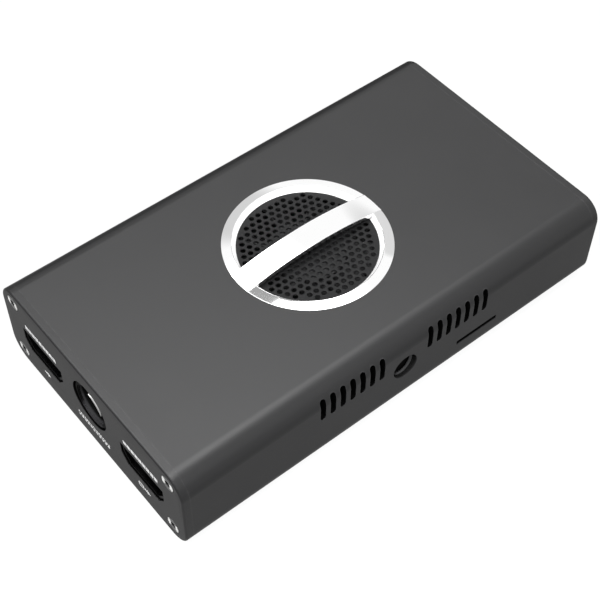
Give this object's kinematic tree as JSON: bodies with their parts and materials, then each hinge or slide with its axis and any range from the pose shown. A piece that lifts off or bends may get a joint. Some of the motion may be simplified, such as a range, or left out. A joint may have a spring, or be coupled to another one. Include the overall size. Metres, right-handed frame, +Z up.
{
  "type": "video encoder",
  "caption": "Flat metal-cased network video encoder with a fan under a round grille, side vents, a tripod thread, a card slot, video ports and a round power port.",
  "frame": {"origin": "centre of the flat underside", "axes": "+X along the case from the port panel to the rear panel, +Z up through the grille, so the tripod thread faces -Y"},
  "size_m": [0.12, 0.0684, 0.0269],
  "materials": {
    "case_finish": "fine matt anodised grey",
    "panel_finish": "fine matt anodised grey with small white marks",
    "screw_steel": "bright plated steel",
    "bush_steel": "dark steel with a cut thread",
    "polished_metal": "satin to polished silver",
    "grille_finish": "matt black",
    "board": "green solder mask",
    "chip_lid": "satin metal lid on a dark base",
    "chip_body": "moulded black",
    "heat_pad": "soft matt",
    "sink_metal": "milled",
    "fan_plastic": "moulded black",
    "coil_metal": "lacquered copper wire on an iron core",
    "magnet": "plain",
    "dark_port_metal": "black-plated sheet metal",
    "port_metal": "plated sheet metal",
    "port_plastic": "moulded black",
    "collar_plastic": "gloss black",
    "contact_metal": "gold plated",
    "button_plastic": "moulded dark grey",
    "light_guide": "milky clear",
    "led_body": "white",
    "can_metal": "bright",
    "header_plastic": "natural white"
  },
  "bodies": {
    "case": {"sleeve": "case_finish", "front_panel": "panel_finish", "rear_panel": "panel_finish", "front_panel_screws": "screw_steel", "rear_panel_screws": "screw_steel", "tripod_bush": "bush_steel", "badge_ring": "polished_metal", "grille_mesh": "grille_finish", "main_board": "board", "main_chip": "chip_lid", "memory_chips": "chip_body", "thermal_pad": "heat_pad", "heat_sink": "sink_metal", "heat_sink_standoffs": "contact_metal", "heat_sink_screws": "screw_steel", "fan_frame": "fan_plastic", "fan_bearing": "contact_metal", "fan_stator": "coil_metal", "fan_screws": "screw_steel", "video_in_shell": "dark_port_metal", "video_in_insulator": "port_plastic", "video_in_contacts": "contact_metal", "video_out_shell": "dark_port_metal", "video_out_insulator": "port_plastic", "video_out_contacts": "contact_metal", "power_barrel": "collar_plastic", "power_body": "port_plastic", "power_pins": "contact_metal", "card_socket_base": "port_plastic", "card_socket_cover": "port_metal", "network_shield": "port_metal", "network_housing": "port_plastic", "network_contacts": "contact_metal", "data_shell": "port_metal", "data_tongue": "port_plastic", "reset_switch": "port_plastic", "light_guides": "light_guide", "status_leds": "led_body", "power_coils": "chip_body", "capacitors": "can_metal", "network_transformer": "chip_body", "fan_header": "header_plastic", "fan_header_pins": "contact_metal"},
    "fan": {"fan_rotor": "fan_plastic", "fan_magnet": "magnet", "fan_shaft": "screw_steel"},
    "reset": {"reset_button": "button_plastic"}
  },
  "joints": [
    {"name": "fan_spin", "type": "hinge", "parent": "case", "child": "fan", "pos_m": [0, 0, 0.0186], "axis": [0, 0, 1], "continuous": true},
    {"name": "reset_press", "type": "slide", "parent": "case", "child": "reset", "axis": [-1, 0, 0], "range_m": [0, 0.0005], "stiffness_N_per_m": 400, "springref_m": -0.0005}
  ]
}
